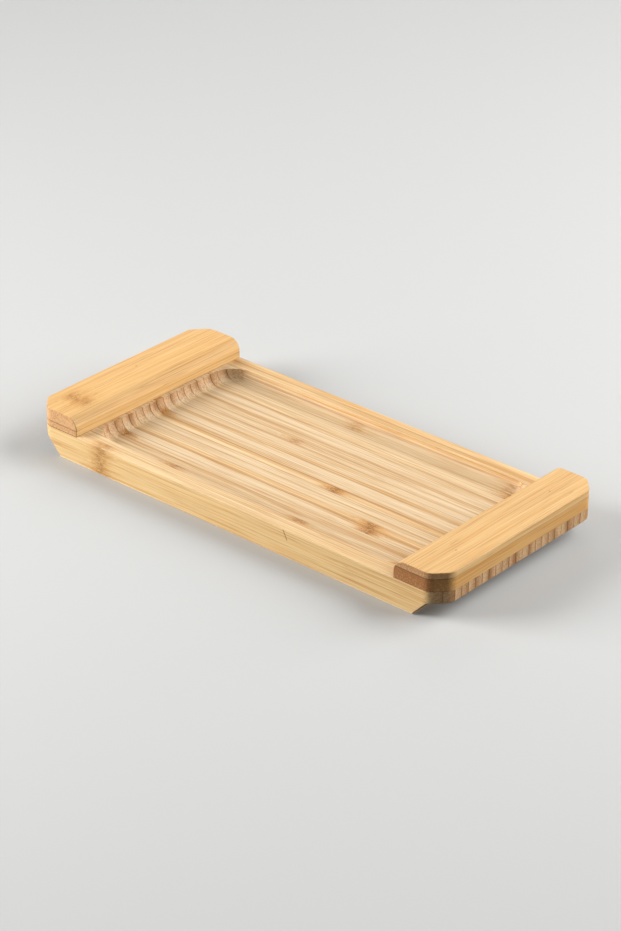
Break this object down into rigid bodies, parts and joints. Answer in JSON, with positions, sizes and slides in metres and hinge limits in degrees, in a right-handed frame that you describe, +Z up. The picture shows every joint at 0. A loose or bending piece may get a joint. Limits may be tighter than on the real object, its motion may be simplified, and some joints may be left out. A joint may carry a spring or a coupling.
{
  "type": "serving tray",
  "caption": "Small rectangular serving tray of laminated bamboo with a shallow coved recess, raised end handles, cut corners and finger grips under its ends.",
  "frame": {"origin": "middle of the flat resting face under the base", "axes": "+X along the tray towards its right handle, +Y across it towards the rear side, +Z up"},
  "size_m": [0.321, 0.15, 0.0308],
  "materials": {
    "base_bamboo": "sanded and lightly oiled",
    "pale_bamboo": "sanded and lightly oiled",
    "honey_bamboo": "sanded and lightly oiled"
  },
  "bodies": {
    "root": {"base_strip_01": "base_bamboo", "base_strip_02": "base_bamboo", "base_strip_03": "base_bamboo", "base_strip_04": "base_bamboo", "base_strip_05": "base_bamboo", "base_strip_06": "base_bamboo", "base_strip_07": "base_bamboo", "base_strip_08": "base_bamboo", "base_strip_09": "base_bamboo", "base_strip_10": "base_bamboo", "base_strip_11": "base_bamboo", "base_strip_12": "base_bamboo", "base_strip_13": "base_bamboo", "base_strip_14": "base_bamboo", "base_strip_15": "base_bamboo", "base_strip_16": "base_bamboo", "base_strip_17": "base_bamboo", "base_strip_18": "base_bamboo", "base_strip_19": "base_bamboo", "base_strip_20": "base_bamboo", "base_strip_21": "base_bamboo", "base_strip_22": "base_bamboo", "base_strip_23": "base_bamboo", "base_strip_24": "base_bamboo", "left_handle_lower_layer": "pale_bamboo", "left_handle_upper_layer": "honey_bamboo", "right_handle_lower_layer": "honey_bamboo", "right_handle_upper_layer": "pale_bamboo"}
  },
  "joints": []
}
